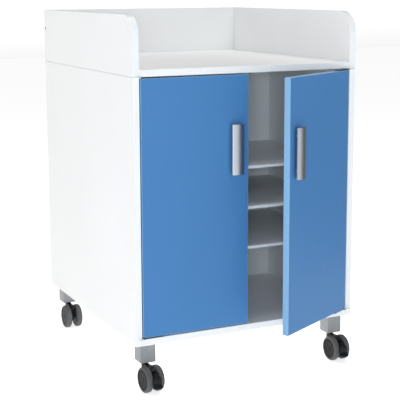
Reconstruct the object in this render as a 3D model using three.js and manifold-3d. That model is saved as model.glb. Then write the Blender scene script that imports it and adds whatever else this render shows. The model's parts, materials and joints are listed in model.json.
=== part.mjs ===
// Mobile ward cabinet with a raised three-sided gallery, two inset doors, three shelves
// and four swivelling twin-wheel casters on square blocks. Millimetres, +Z up, front at -Y.

import * as THREE from "three";
import { mergeVertices } from "three/addons/utils/BufferGeometryUtils.js";
import Module from "manifold-3d";

const wasm = await Module();
wasm.setup();

// ---- driving dimensions -------------------------------------------------------------

// Carcass and gallery: 19 mm melamine-faced board
const WIDTH = 700;
const DEPTH = 750;
const BOARD = 19;
const CARCASS_HEIGHT = 744;
const GALLERY_HEIGHT = 165;
const GALLERY_CORNER_RADIUS = 60;
const SEAM = 0.2;

// Inside
const INTERIOR_DEPTH = 475;
const BACK_BOARD = 8;
const SHELF_BOARD = 8;
const SHELF_SETBACK = 21.5;
const SHELF_NAMES = ["lower", "middle", "upper"];
const LOWEST_SHELF_TOP = 243;
const SHELF_PITCH = 117;
const SHELF_SIDE_GAP = 1;

// Shelf pins, and the rows of holes that they plug into
const PIN_RADIUS = 2.5;
const PIN_COLLAR_RADIUS = 3.6;
const PIN_PLUG = 8;
const PIN_REST = 7;
const PIN_INSET = 45;
const PIN_HOLE_RADIUS = 2.9;
const PIN_HOLE_DEPTH = 9;
const PIN_HOLE_PITCH = 32;

// Doors, inset and flush with the front edges of the sides
const DOOR_REVEAL = 3.5;
const DOOR_THRESHOLD = 4;
const RIGHT_DOOR_OPEN_DEG = 28.4;

// Pivot hinges: two thin plates and a pin at the top and at the bottom of each door
const PIVOT_FORWARD = 8;
const PIVOT_OUTBOARD = 8;
const PIVOT_PLATE = 1.1;
const PIVOT_PLATE_LENGTH = 60;
const PIVOT_PLATE_WIDTH = 14;
const PIVOT_LUG_RADIUS = 4.6;
const PIVOT_PIN_RADIUS = 2;
const PIVOT_PIN_CLEARANCE = 0.35;
const PIVOT_PIN_LENGTH = 4.4;

// Handles: a bowed shell with turned edges on two posts
const HANDLE_WIDTH = 36;
const HANDLE_LENGTH = 142;
const HANDLE_PROJECTION = 19;
const HANDLE_EDGE = 7;
const HANDLE_BOW = 3;
const HANDLE_WALL = 2;
const HANDLE_POST_RADIUS = 5;
const HANDLE_POST_SPACING = 96;
const HANDLE_FROM_FREE_EDGE = 40;
const HANDLE_MIDDLE = 532;

// Screws that hold the gallery back between the gallery sides
const SCREW_HEAD_RADIUS = 4.5;
const SCREW_HEAD = 2.6;
const SCREW_SHANK_RADIUS = 2;
const SCREW_SHANK = 45;
const SCREW_CLEARANCE = 0.3;
const SCREW_HEIGHT = 850;

// Caster blocks
const BLOCK = 46;
const BLOCK_HEIGHT = 57;
const BLOCK_INSET_X = 21;
const BLOCK_INSET_Y = 20;

// Casters
const CASTER_HEIGHT = 79;
const WHEEL_RADIUS = 36.5;
const WHEEL_WIDTH = 19;
const WHEEL_GAP = 16.2;
const WHEEL_SHOULDER = 6.5;
const WHEEL_DISC_RADIUS = 29;
const TRAIL = 35.5;
const AXLE_RADIUS = 4;
const AXLE_CLEARANCE = 0.35;
const AXLE_END_COVER = 1.4;
const STEM_RADIUS = 4;
const STEM_CLEARANCE = 0.4;
const STEM_IN_BLOCK = 40;
const STEM_IN_HOOD = 22;
const NECK_RADIUS = 9;
const NECK_HEIGHT = 12;
const COWL_WIDTH = 15;
const COWL_RADIUS = 34.5;
const COWL_INNER_RADIUS = 12;
const WEB_WIDTH = 7;
const WEB_RADIUS = 17;
const HOOD_CLEARANCE = 1;
const FACETS = 24;

// How far each caster has swivelled from pointing straight at the front
const FRONT_LEFT_SWIVEL_DEG = 4;
const FRONT_RIGHT_SWIVEL_DEG = 0;
const REAR_LEFT_SWIVEL_DEG = -1;
const REAR_RIGHT_SWIVEL_DEG = 3;

// Brake pedals of the two front casters
const PEDAL_ARM = 2.2;
const PEDAL_ARM_HEIGHT = 9;
const PEDAL_ARM_GAP = 0.35;
const PEDAL_EYE_RADIUS = 8.5;
const PEDAL_FACE_RADIUS = 40;
const PEDAL_THICKNESS = 6;
const PEDAL_WIDTH = 14.4;
const PEDAL_TOP_DEG = 42;
const PEDAL_ARM_DEG = 12;

// The foot lip that the pedal ends in, in front of both wheels
const LIP_WIDTH = 28;
const LIP_REACH = 57;
const LIP_ROOT = 39.6;
const LIP_ROOT_DROP = 2;
const LIP_TOP_DROP = 9.5;
const LIP_BOTTOM_DROP = 15;
const LIP_ROOT_BOTTOM_DROP = 16.5;

// ---- places worked out from them ----------------------------------------------------

const BASE = CASTER_HEIGHT + BLOCK_HEIGHT;
const HALF_WIDTH = WIDTH / 2;
const INNER_HALF_WIDTH = HALF_WIDTH - BOARD;
const FRONT = -DEPTH / 2;
const REAR = DEPTH / 2;
const BASE_TOP = BASE + BOARD;
const CARCASS_TOP = BASE + CARCASS_HEIGHT;
const WORKTOP_TOP = CARCASS_TOP + BOARD;
const GALLERY_TOP = CARCASS_TOP + GALLERY_HEIGHT;
const DOOR_WIDTH = INNER_HALF_WIDTH - 1.5 * DOOR_REVEAL;
const DOOR_BOTTOM = BASE_TOP + DOOR_THRESHOLD;
const DOOR_TOP = CARCASS_TOP - DOOR_THRESHOLD;
const PIVOT_X = INNER_HALF_WIDTH + PIVOT_OUTBOARD;
const PIVOT_Y = FRONT - PIVOT_FORWARD;
const PIN_LINES_Y = [
  FRONT + SHELF_SETBACK + PIN_INSET,
  FRONT + INTERIOR_DEPTH - PIN_INSET,
];
const AXLE = new THREE.Vector2(-TRAIL, WHEEL_RADIUS);

// ---- materials ----------------------------------------------------------------------

function material(color, roughness, metalness = 0) {
  return new THREE.MeshStandardMaterial({ color, roughness, metalness });
}

const WHITE_BOARD = material(0xf1f2f4, 0.42);
const BLUE_BOARD = material(0x2f74bd, 0.4);
const SATIN_ALUMINIUM = material(0xb4b6ba, 0.34, 1);
const ZINC_STEEL = material(0xc8cacc, 0.4, 1);
const DARK_STEEL = material(0x303236, 0.45);
const GREY_PLASTIC = material(0x85888b, 0.5);
const BLACK_PLASTIC = material(0x171719, 0.45);
const GREY_TYRE = material(0x3a3a3c, 0.6);

// ---- solids -------------------------------------------------------------------------

// A closed geometry as a manifold solid, with only its positions kept.
function solid(geometry) {
  const bare = new THREE.BufferGeometry();
  bare.setAttribute("position", geometry.getAttribute("position"));
  bare.setIndex(geometry.index);
  const merged = mergeVertices(bare, 1e-4);
  const mesh = new wasm.Mesh({
    numProp: 3,
    vertProperties: merged.attributes.position.array,
    triVerts: new Uint32Array(merged.index.array),
  });
  return new wasm.Manifold(mesh);
}

// A manifold solid as a three.js geometry.
function geometryOf(manifold) {
  const mesh = manifold.getMesh();
  const positions = new Float32Array(mesh.numVert * 3);
  for (let i = 0; i < mesh.numVert; i++) {
    const start = i * mesh.numProp;
    positions.set(mesh.vertProperties.subarray(start, start + 3), i * 3);
  }
  const geometry = new THREE.BufferGeometry();
  geometry.setAttribute("position", new THREE.BufferAttribute(positions, 3));
  geometry.setIndex(new THREE.BufferAttribute(mesh.triVerts, 1));
  geometry.computeVertexNormals();
  return geometry;
}

function joined(geometries) {
  return geometries.map(solid).reduce((sum, next) => sum.add(next));
}

function cut(manifold, geometries) {
  return geometries.map(solid).reduce((rest, tool) => rest.subtract(tool), manifold);
}

function boxBetween(low, high) {
  const size = high.map((value, axis) => value - low[axis]);
  const middle = high.map((value, axis) => (value + low[axis]) / 2);
  return new THREE.BoxGeometry(...size).translate(...middle);
}

// A cylinder from start, along a unit direction.
function rod(radius, length, start, direction, facets = 12) {
  const geometry = new THREE.CylinderGeometry(radius, radius, length, facets);
  const along = new THREE.Vector3(...direction);
  const turn = new THREE.Quaternion();
  turn.setFromUnitVectors(new THREE.Vector3(0, 1, 0), along);
  const middle = new THREE.Vector3(...start).addScaledVector(along, length / 2);
  return geometry.applyQuaternion(turn).translate(middle.x, middle.y, middle.z);
}

// A shape drawn in Y and Z, extruded along X over a width centred on x.
function extrudedAcross(shape, width, x = 0, curveSegments = 8) {
  const options = { depth: width, bevelEnabled: false, curveSegments };
  const geometry = new THREE.ExtrudeGeometry(shape, options);
  const axes = new THREE.Matrix4().makeBasis(
    new THREE.Vector3(0, 1, 0),
    new THREE.Vector3(0, 0, 1),
    new THREE.Vector3(1, 0, 0),
  );
  return geometry.applyMatrix4(axes).translate(x - width / 2, 0, 0);
}

// A shape drawn in X and Y, extruded up from z.
function extrudedUp(shape, height, z, curveSegments = 8) {
  const options = { depth: height, bevelEnabled: false, curveSegments };
  return new THREE.ExtrudeGeometry(shape, options).translate(0, 0, z);
}

function outline(points) {
  return new THREE.Shape(points.map(([x, y]) => new THREE.Vector2(x, y)));
}

function named(name, geometry, finish) {
  const mesh = new THREE.Mesh(geometry, finish);
  mesh.name = name;
  return mesh;
}

const SIDES = [
  { side: "left", sign: -1 },
  { side: "right", sign: 1 },
];

// ---- carcass ------------------------------------------------------------------------

function shelfTop(level) {
  return BASE + LOWEST_SHELF_TOP + level * SHELF_PITCH;
}

// Height of the middle of a pin, which carries a shelf on its collar.
function pinHeight(level) {
  return shelfTop(level) - SHELF_BOARD - PIN_COLLAR_RADIUS - SEAM;
}

function pinHoles(sign) {
  const mouth = sign * (INNER_HALF_WIDTH - 1);
  const holes = [];
  for (const y of PIN_LINES_Y) {
    for (const level of SHELF_NAMES.keys()) {
      for (const step of [-1, 0, 1]) {
        const start = [mouth, y, pinHeight(level) + step * PIN_HOLE_PITCH];
        holes.push(rod(PIN_HOLE_RADIUS, PIN_HOLE_DEPTH + 1, start, [sign, 0, 0], 8));
      }
    }
  }
  return holes;
}

function sidePanel({ side, sign }) {
  const inner = sign * INNER_HALF_WIDTH;
  const outer = sign * HALF_WIDTH;
  const low = [Math.min(inner, outer), FRONT, BASE];
  const high = [Math.max(inner, outer), REAR, CARCASS_TOP - SEAM];
  const drilled = cut(solid(boxBetween(low, high)), pinHoles(sign));
  return named(side + "_side_panel", geometryOf(drilled), WHITE_BOARD);
}

function acrossPanel(name, front, rear, bottom, top, sideGap = SEAM) {
  const reach = INNER_HALF_WIDTH - sideGap;
  return named(name, boxBetween([-reach, front, bottom], [reach, rear, top]), WHITE_BOARD);
}

function shelf(label, level) {
  const front = FRONT + SHELF_SETBACK;
  const rear = FRONT + INTERIOR_DEPTH - SEAM;
  const top = shelfTop(level);
  return acrossPanel("shelf_" + label, front, rear, top - SHELF_BOARD, top, SHELF_SIDE_GAP);
}

// A pin is a plug in the side panel with a thicker collar, on which the shelf rests.
function shelfPin(label, level, { side, sign }, y, place) {
  const profile = [
    [0, 0],
    [PIN_RADIUS, 0],
    [PIN_RADIUS, PIN_PLUG],
    [PIN_COLLAR_RADIUS, PIN_PLUG],
    [PIN_COLLAR_RADIUS, PIN_PLUG + PIN_REST],
    [0, PIN_PLUG + PIN_REST],
  ];
  const points = profile.map(([radius, along]) => new THREE.Vector2(radius, along));
  const geometry = new THREE.LatheGeometry(points, 12).rotateZ((sign * Math.PI) / 2);
  const plugEnd = sign * (INNER_HALF_WIDTH + PIN_PLUG - SEAM);
  geometry.translate(plugEnd, y, pinHeight(level));
  return named(["shelf_pin", label, place, side].join("_"), geometry, ZINC_STEEL);
}

function shelvesAndPins() {
  const group = new THREE.Group();
  SHELF_NAMES.forEach((label, level) => {
    group.add(shelf(label, level));
    for (const where of SIDES) {
      group.add(shelfPin(label, level, where, PIN_LINES_Y[0], "front"));
      group.add(shelfPin(label, level, where, PIN_LINES_Y[1], "rear"));
    }
  });
  return group;
}

function carcass() {
  const group = new THREE.Group();
  const backFront = FRONT + INTERIOR_DEPTH;
  group.add(...SIDES.map(sidePanel));
  group.add(acrossPanel("base_panel", FRONT, REAR, BASE, BASE_TOP));
  group.add(
    acrossPanel(
      "inner_back_panel",
      backFront,
      backFront + BACK_BOARD,
      BASE_TOP + SEAM,
      CARCASS_TOP - SEAM,
    ),
  );
  const worktopRear = REAR - BOARD - SEAM;
  group.add(acrossPanel("worktop_panel", FRONT, worktopRear, CARCASS_TOP, WORKTOP_TOP));
  return group;
}

// ---- gallery ------------------------------------------------------------------------

// A gallery side is a strip whose upper front corner is a quarter round.
function gallerySideShape() {
  const corner = GALLERY_CORNER_RADIUS;
  const shape = new THREE.Shape();
  shape.moveTo(REAR, CARCASS_TOP);
  shape.lineTo(REAR, GALLERY_TOP);
  shape.lineTo(FRONT + corner, GALLERY_TOP);
  shape.absarc(FRONT + corner, GALLERY_TOP - corner, corner, Math.PI / 2, Math.PI, false);
  shape.lineTo(FRONT, CARCASS_TOP);
  return shape;
}

// The way of one gallery screw: a counterbore for the head, then a hole for the shank.
function screwWay(sign) {
  const y = REAR - BOARD / 2;
  const z = BASE + SCREW_HEIGHT;
  const inward = [-sign, 0, 0];
  const headRadius = SCREW_HEAD_RADIUS + SCREW_CLEARANCE;
  const shankRadius = SCREW_SHANK_RADIUS + SCREW_CLEARANCE;
  const overrun = 5;
  const start = [sign * (HALF_WIDTH + overrun), y, z];
  return [
    rod(headRadius, SCREW_HEAD + SCREW_CLEARANCE + overrun, start, inward, 16),
    rod(shankRadius, SCREW_SHANK + SCREW_HEAD + 1 + overrun, start, inward, 8),
  ];
}

function galleryScrew({ side, sign }) {
  const start = [sign * HALF_WIDTH, REAR - BOARD / 2, BASE + SCREW_HEIGHT];
  const inward = [-sign, 0, 0];
  const screw = joined([
    rod(SCREW_HEAD_RADIUS, SCREW_HEAD, start, inward, 16),
    rod(SCREW_SHANK_RADIUS, SCREW_SHANK + SCREW_HEAD, start, inward, 8),
  ]);
  return named("gallery_screw_" + side, geometryOf(screw), ZINC_STEEL);
}

function gallerySide({ side, sign }) {
  const middle = sign * (HALF_WIDTH - BOARD / 2);
  const strip = solid(extrudedAcross(gallerySideShape(), BOARD, middle, 14));
  return named("gallery_" + side, geometryOf(cut(strip, screwWay(sign))), WHITE_BOARD);
}

function galleryBack() {
  const reach = INNER_HALF_WIDTH - SEAM;
  const low = [-reach, REAR - BOARD, CARCASS_TOP];
  const strip = solid(boxBetween(low, [reach, REAR, GALLERY_TOP]));
  const drilled = cut(strip, [...screwWay(-1), ...screwWay(1)]);
  return named("gallery_back", geometryOf(drilled), WHITE_BOARD);
}

function gallery() {
  const group = new THREE.Group();
  group.add(...SIDES.map(gallerySide), galleryBack(), ...SIDES.map(galleryScrew));
  return group;
}

// ---- doors --------------------------------------------------------------------------

// The two plates of a pivot hinge share this outline. It is drawn around the pin of a
// left-hand door: a lug that turns on the pin, and a leaf that runs along the door.
function pivotPlateShape() {
  const leafStart = PIVOT_OUTBOARD + DOOR_REVEAL + 0.5;
  const leafFront = PIVOT_FORWARD + 1;
  const leafRear = leafFront + PIVOT_PLATE_WIDTH;
  const leafEnd = leafStart + PIVOT_PLATE_LENGTH;
  const shape = new THREE.Shape();
  shape.moveTo(leafStart, PIVOT_FORWARD - 1);
  shape.lineTo(-PIVOT_LUG_RADIUS * Math.SQRT1_2, PIVOT_LUG_RADIUS * Math.SQRT1_2);
  shape.absarc(0, 0, PIVOT_LUG_RADIUS, 0.75 * Math.PI, -0.25 * Math.PI, false);
  shape.lineTo(leafStart + 8, leafFront);
  shape.lineTo(leafEnd, leafFront);
  shape.lineTo(leafEnd, leafRear);
  shape.lineTo(leafStart, leafRear);
  return shape;
}

// Height at which each plate starts, for the top and the bottom hinge.
function pivotPlateHeights(end) {
  const outerGap = 0.3;
  const betweenGap = 0.2;
  const fixedPlate = outerGap;
  const doorPlate = fixedPlate + PIVOT_PLATE + betweenGap;
  if (end === "bottom") {
    return { fixed: BASE_TOP + fixedPlate, moving: BASE_TOP + doorPlate };
  }
  return {
    fixed: CARCASS_TOP - fixedPlate - PIVOT_PLATE,
    moving: CARCASS_TOP - doorPlate - PIVOT_PLATE,
  };
}

// Mirrors a shape in X for the right-hand door.
function handed(shape, sign) {
  if (sign < 0) return shape;
  const points = shape.getPoints(6).map((point) => [-point.x, point.y]);
  return outline(points.reverse());
}

// The plate that is screwed to the carcass carries the pin.
function fixedPivot(end, { side, sign }) {
  const z = pivotPlateHeights(end).fixed;
  const plate = extrudedUp(handed(pivotPlateShape(), sign), PIVOT_PLATE, z, 6);
  const direction = end === "bottom" ? 1 : -1;
  const pinStart = end === "bottom" ? z : z + PIVOT_PLATE;
  const pin = rod(PIVOT_PIN_RADIUS, PIVOT_PIN_LENGTH, [0, 0, pinStart], [0, 0, direction]);
  const mesh = named(
    ["pivot_pin_plate", side, end].join("_"),
    geometryOf(joined([plate, pin])),
    DARK_STEEL,
  );
  mesh.position.set(sign * PIVOT_X, PIVOT_Y, 0);
  return mesh;
}

// The plate that is screwed to the door has the hole.
function movingPivot(end, { side, sign }) {
  const z = pivotPlateHeights(end).moving;
  const plate = solid(extrudedUp(handed(pivotPlateShape(), sign), PIVOT_PLATE, z, 6));
  const holeRadius = PIVOT_PIN_RADIUS + PIVOT_PIN_CLEARANCE;
  const hole = rod(holeRadius, PIVOT_PLATE + 2, [0, 0, z - 1], [0, 0, 1]);
  const name = ["pivot_door_plate", side, end].join("_");
  return named(name, geometryOf(cut(plate, [hole])), DARK_STEEL);
}

// Cross-section of the handle's bowed face with its two turned edges, in X and Y, with
// the door's face at y = 0 and outwards at -Y. inset moves the whole section inwards.
function handleSection(inset) {
  const half = HANDLE_WIDTH / 2 - inset;
  const back = -(HANDLE_PROJECTION - HANDLE_EDGE - HANDLE_BOW) + inset * 2;
  const shoulder = -(HANDLE_PROJECTION - HANDLE_BOW) + inset;
  const shape = new THREE.Shape();
  shape.moveTo(half, back);
  shape.lineTo(-half, back);
  shape.lineTo(-half, shoulder);
  shape.quadraticCurveTo(0, shoulder - 2 * HANDLE_BOW, half, shoulder);
  return shape;
}

// The handle is a shallow dish, open towards the door, on two posts.
function handle({ side }) {
  const middle = BASE + HANDLE_MIDDLE;
  const bottom = middle - HANDLE_LENGTH / 2;
  const full = solid(extrudedUp(handleSection(0), HANDLE_LENGTH, bottom, 6));
  const hollow = extrudedUp(
    handleSection(HANDLE_WALL),
    HANDLE_LENGTH - 2 * HANDLE_WALL,
    bottom + HANDLE_WALL,
    6,
  );
  let body = cut(full, [hollow]);
  for (const step of [-0.5, 0.5]) {
    const start = [0, -SEAM * 2, middle + step * HANDLE_POST_SPACING];
    const reach = HANDLE_PROJECTION - HANDLE_WALL;
    body = body.add(solid(rod(HANDLE_POST_RADIUS, reach, start, [0, -1, 0], 12)));
  }
  return named(side + "_handle", geometryOf(body), SATIN_ALUMINIUM);
}

// A door, drawn around its hinge axis, with its handle and its two pivot plates.
function door(where, openDeg) {
  const { side, sign } = where;
  const hingeEdge = -sign * (PIVOT_OUTBOARD + DOOR_REVEAL);
  const freeEdge = hingeEdge - sign * DOOR_WIDTH;
  const low = [Math.min(hingeEdge, freeEdge), PIVOT_FORWARD, DOOR_BOTTOM];
  const high = [Math.max(hingeEdge, freeEdge), PIVOT_FORWARD + BOARD, DOOR_TOP];
  const panel = named(side + "_door", boxBetween(low, high), BLUE_BOARD);
  const grip = handle(where);
  grip.position.set(freeEdge + sign * HANDLE_FROM_FREE_EDGE, PIVOT_FORWARD, 0);
  const group = new THREE.Group();
  group.add(panel, grip, movingPivot("top", where), movingPivot("bottom", where));
  group.position.set(sign * PIVOT_X, PIVOT_Y, 0);
  group.rotation.z = THREE.MathUtils.degToRad(sign * openDeg);
  return group;
}

function doors() {
  const group = new THREE.Group();
  for (const where of SIDES) {
    group.add(fixedPivot("top", where), fixedPivot("bottom", where));
  }
  group.add(door(SIDES[0], 0), door(SIDES[1], RIGHT_DOOR_OPEN_DEG));
  return group;
}

// ---- casters ------------------------------------------------------------------------

// A block with its stem hole, drawn around the swivel axis.
function casterBlock(name) {
  const half = BLOCK / 2;
  const low = [-half, -half, CASTER_HEIGHT];
  const block = solid(boxBetween(low, [half, half, BASE - SEAM]));
  const bore = rod(
    STEM_RADIUS + STEM_CLEARANCE,
    STEM_IN_BLOCK + 2,
    [0, 0, CASTER_HEIGHT - 1],
    [0, 0, 1],
    16,
  );
  return named("caster_block_" + name, geometryOf(cut(block, [bore])), GREY_PLASTIC);
}

function casterStem(name) {
  const start = [0, 0, CASTER_HEIGHT - STEM_IN_HOOD];
  const stem = rod(STEM_RADIUS, STEM_IN_BLOCK + STEM_IN_HOOD, start, [0, 0, 1], 16);
  return named("caster_stem_" + name, stem, ZINC_STEEL);
}

function onAxle(radius, degrees) {
  const angle = THREE.MathUtils.degToRad(degrees);
  return [AXLE.x + radius * Math.cos(angle), AXLE.y + radius * Math.sin(angle)];
}

// The cowl fills the space between the wheels, from the top round to the stem.
// Angles turn from the rear (0) over the top (90) to the front (180).
function cowlShape() {
  const front = 120;
  const low = -10;
  const top = 90;
  const radians = THREE.MathUtils.degToRad;
  const rear = NECK_RADIUS;
  const shape = new THREE.Shape();
  shape.moveTo(...onAxle(COWL_INNER_RADIUS, low));
  shape.lineTo(rear - 6, AXLE.y);
  shape.quadraticCurveTo(rear, AXLE.y + 4, rear, AXLE.y + 16);
  shape.lineTo(rear, AXLE.y + COWL_RADIUS - 4);
  shape.lineTo(rear - 4, AXLE.y + COWL_RADIUS);
  shape.lineTo(...onAxle(COWL_RADIUS, top));
  shape.absarc(AXLE.x, AXLE.y, COWL_RADIUS, radians(top), radians(front), false);
  shape.lineTo(...onAxle(COWL_INNER_RADIUS, front));
  shape.absarc(AXLE.x, AXLE.y, COWL_INNER_RADIUS, radians(front), radians(low), true);
  return shape;
}

function webShape() {
  const shape = new THREE.Shape();
  shape.absarc(AXLE.x, AXLE.y, WEB_RADIUS, 0, 2 * Math.PI, false);
  return shape;
}

// The hood is one moulding: cowl, web, neck and the stub axle for the two wheels.
function casterHood(name) {
  const neckTop = CASTER_HEIGHT - HOOD_CLEARANCE;
  const axleHalf = WHEEL_GAP / 2 + WHEEL_WIDTH - AXLE_END_COVER - 1;
  const moulding = joined([
    extrudedAcross(cowlShape(), COWL_WIDTH),
    extrudedAcross(webShape(), WEB_WIDTH, 0, 10),
    rod(NECK_RADIUS, NECK_HEIGHT, [0, 0, neckTop - NECK_HEIGHT], [0, 0, 1], 20),
    rod(AXLE_RADIUS, 2 * axleHalf, [-axleHalf, AXLE.x, AXLE.y], [1, 0, 0], 12),
  ]);
  const socket = rod(
    STEM_RADIUS + STEM_CLEARANCE,
    STEM_IN_HOOD + 2,
    [0, 0, CASTER_HEIGHT - STEM_IN_HOOD - 1],
    [0, 0, 1],
    16,
  );
  return named("caster_hood_" + name, geometryOf(cut(moulding, [socket])), BLACK_PLASTIC);
}

// A wheel has rounded shoulders, a flat disc outside and a blind bore from the inside.
function wheel(name, sign) {
  const boreEnd = WHEEL_WIDTH - AXLE_END_COVER;
  const boreRadius = AXLE_RADIUS + AXLE_CLEARANCE;
  const shoulder = WHEEL_SHOULDER;
  const profile = [
    [0, boreEnd],
    [boreRadius, boreEnd],
    [boreRadius, 0],
    [WHEEL_RADIUS - shoulder, 0],
    [WHEEL_RADIUS - 0.3 * shoulder, 0.25 * shoulder],
    [WHEEL_RADIUS, 0.9 * shoulder],
    [WHEEL_RADIUS, WHEEL_WIDTH - 0.9 * shoulder],
    [WHEEL_RADIUS - 0.3 * shoulder, WHEEL_WIDTH - 0.25 * shoulder],
    [WHEEL_DISC_RADIUS + 1, WHEEL_WIDTH],
    [WHEEL_DISC_RADIUS, WHEEL_WIDTH - 0.8],
    [0, WHEEL_WIDTH - 0.4],
  ];
  const points = profile.map(([radius, along]) => new THREE.Vector2(radius, along));
  const geometry = new THREE.LatheGeometry(points, FACETS);
  geometry.rotateZ((-sign * Math.PI) / 2);
  geometry.translate((sign * WHEEL_GAP) / 2, AXLE.x, AXLE.y);
  const hand = sign < 0 ? "a" : "b";
  return named(["caster_wheel", name, hand].join("_"), geometry, GREY_TYRE);
}

// The pedal's face curves round between the wheels, from the top down to the lip.
function pedalFaceShape() {
  const radians = THREE.MathUtils.degToRad;
  const top = 180 - PEDAL_TOP_DEG;
  const bottom = 180 + PEDAL_ARM_DEG;
  const inner = PEDAL_FACE_RADIUS - PEDAL_THICKNESS;
  const shape = new THREE.Shape();
  shape.moveTo(...onAxle(inner, top));
  shape.absarc(AXLE.x, AXLE.y, inner, radians(top), radians(bottom), false);
  shape.lineTo(...onAxle(PEDAL_FACE_RADIUS, bottom));
  shape.absarc(AXLE.x, AXLE.y, PEDAL_FACE_RADIUS, radians(bottom), radians(top), true);
  return shape;
}

// A point this far in front of the axle and this far below it.
function beforeAxle(forward, drop) {
  return [AXLE.x - forward, AXLE.y - drop];
}

// The lip sweeps forward from the face, clear of the treads.
function pedalLipShape() {
  const shape = new THREE.Shape();
  shape.moveTo(...beforeAxle(LIP_ROOT, LIP_ROOT_DROP));
  shape.lineTo(...beforeAxle(LIP_ROOT, LIP_ROOT_BOTTOM_DROP));
  shape.lineTo(...beforeAxle(LIP_REACH, LIP_BOTTOM_DROP));
  shape.lineTo(...beforeAxle(LIP_REACH, LIP_TOP_DROP));
  shape.quadraticCurveTo(
    ...beforeAxle(LIP_ROOT + 1, LIP_TOP_DROP),
    ...beforeAxle(LIP_ROOT, LIP_ROOT_DROP),
  );
  return shape;
}

// An arm of the pedal's fork runs beside the web, from an eye on the axle to the face.
function pedalArmShape() {
  const angle = 180 - PEDAL_ARM_DEG;
  const reach = PEDAL_FACE_RADIUS - PEDAL_THICKNESS + 1;
  const across = new THREE.Vector2(0, PEDAL_ARM_HEIGHT / 2);
  across.rotateAround(new THREE.Vector2(), THREE.MathUtils.degToRad(angle));
  const [endY, endZ] = onAxle(reach, angle);
  return outline([
    [AXLE.x + across.x, AXLE.y + across.y],
    [endY + across.x, endZ + across.y],
    [endY - across.x, endZ - across.y],
    [AXLE.x - across.x, AXLE.y - across.y],
  ]);
}

function eyeShape() {
  const shape = new THREE.Shape();
  shape.absarc(AXLE.x, AXLE.y, PEDAL_EYE_RADIUS, 0, 2 * Math.PI, false);
  return shape;
}

function brakePedal(name) {
  const armX = WEB_WIDTH / 2 + PEDAL_ARM_GAP + PEDAL_ARM / 2;
  const pieces = [
    extrudedAcross(pedalFaceShape(), PEDAL_WIDTH, 0, 8),
    extrudedAcross(pedalLipShape(), LIP_WIDTH, 0, 6),
  ];
  for (const x of [-armX, armX]) {
    pieces.push(extrudedAcross(pedalArmShape(), PEDAL_ARM, x));
    pieces.push(extrudedAcross(eyeShape(), PEDAL_ARM, x, 8));
  }
  const start = [-PEDAL_WIDTH, AXLE.x, AXLE.y];
  const bore = rod(AXLE_RADIUS + AXLE_CLEARANCE, 2 * PEDAL_WIDTH, start, [1, 0, 0], 12);
  const pedal = cut(joined(pieces), [bore]);
  return named("brake_pedal_" + name, geometryOf(pedal), BLACK_PLASTIC);
}

function caster(name, signX, signY, swivelDeg, braked) {
  const swivelling = new THREE.Group();
  swivelling.add(casterHood(name), wheel(name, -1), wheel(name, 1));
  if (braked) swivelling.add(brakePedal(name));
  swivelling.rotation.z = THREE.MathUtils.degToRad(swivelDeg);
  const group = new THREE.Group();
  group.add(casterBlock(name), casterStem(name), swivelling);
  const x = signX * (HALF_WIDTH - BLOCK_INSET_X - BLOCK / 2);
  const y = signY * (DEPTH / 2 - BLOCK_INSET_Y - BLOCK / 2);
  group.position.set(x, y, 0);
  return group;
}

function casters() {
  const group = new THREE.Group();
  group.add(caster("front_left", -1, -1, FRONT_LEFT_SWIVEL_DEG, true));
  group.add(caster("front_right", 1, -1, FRONT_RIGHT_SWIVEL_DEG, true));
  group.add(caster("rear_left", -1, 1, REAR_LEFT_SWIVEL_DEG, false));
  group.add(caster("rear_right", 1, 1, REAR_RIGHT_SWIVEL_DEG, false));
  return group;
}

// ---- the whole cabinet --------------------------------------------------------------

// The origin is on the floor, in the middle of the space that the cabinet takes up with
// its right door standing open.
const cabinet = new THREE.Group();
cabinet.add(carcass(), shelvesAndPins(), gallery(), doors(), casters());
const extent = new THREE.Box3().setFromObject(cabinet, true);
const middle = extent.getCenter(new THREE.Vector3());
cabinet.position.set(-middle.x, -middle.y, -extent.min.z);

const root = new THREE.Group();
root.add(cabinet);

export default root;
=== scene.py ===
"""Looks of the mobile ward cabinet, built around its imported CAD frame. Metres, +Z up."""

import json
import math

import bmesh
import bpy
from mathutils import Matrix, Vector


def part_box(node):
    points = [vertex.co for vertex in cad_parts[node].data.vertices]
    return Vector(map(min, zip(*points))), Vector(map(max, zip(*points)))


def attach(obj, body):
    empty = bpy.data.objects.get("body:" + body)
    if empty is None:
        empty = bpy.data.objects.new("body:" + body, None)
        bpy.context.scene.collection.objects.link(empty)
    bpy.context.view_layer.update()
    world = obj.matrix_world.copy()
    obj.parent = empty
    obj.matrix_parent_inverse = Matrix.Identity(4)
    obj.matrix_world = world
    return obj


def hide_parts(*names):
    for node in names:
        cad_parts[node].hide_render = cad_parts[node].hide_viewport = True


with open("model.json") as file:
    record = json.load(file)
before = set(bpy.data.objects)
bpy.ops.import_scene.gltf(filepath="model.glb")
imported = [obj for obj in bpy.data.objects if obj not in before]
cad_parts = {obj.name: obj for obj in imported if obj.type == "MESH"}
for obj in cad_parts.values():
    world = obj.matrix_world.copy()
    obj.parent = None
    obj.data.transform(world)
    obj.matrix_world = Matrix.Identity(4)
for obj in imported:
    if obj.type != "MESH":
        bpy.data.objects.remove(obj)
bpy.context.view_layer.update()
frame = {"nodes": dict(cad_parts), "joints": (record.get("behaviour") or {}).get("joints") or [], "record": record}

MM = 0.001
NODES = frame["nodes"]
JOINTS = {joint["name"]: joint for joint in frame["joints"]}
BODY_OF = {
    node: body
    for body, members in frame["record"]["behaviour"]["bodies"].items()
    for node in members
}
SLOT_OF = {part["node"]: part["material_slot"] for part in frame["record"]["subparts"]}
SIDES = (("left", -1), ("right", 1))
CORNERS = ("front_left", "front_right", "rear_left", "rear_right")


# ---- camera, floor and light ----------------------------------------------------------

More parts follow.
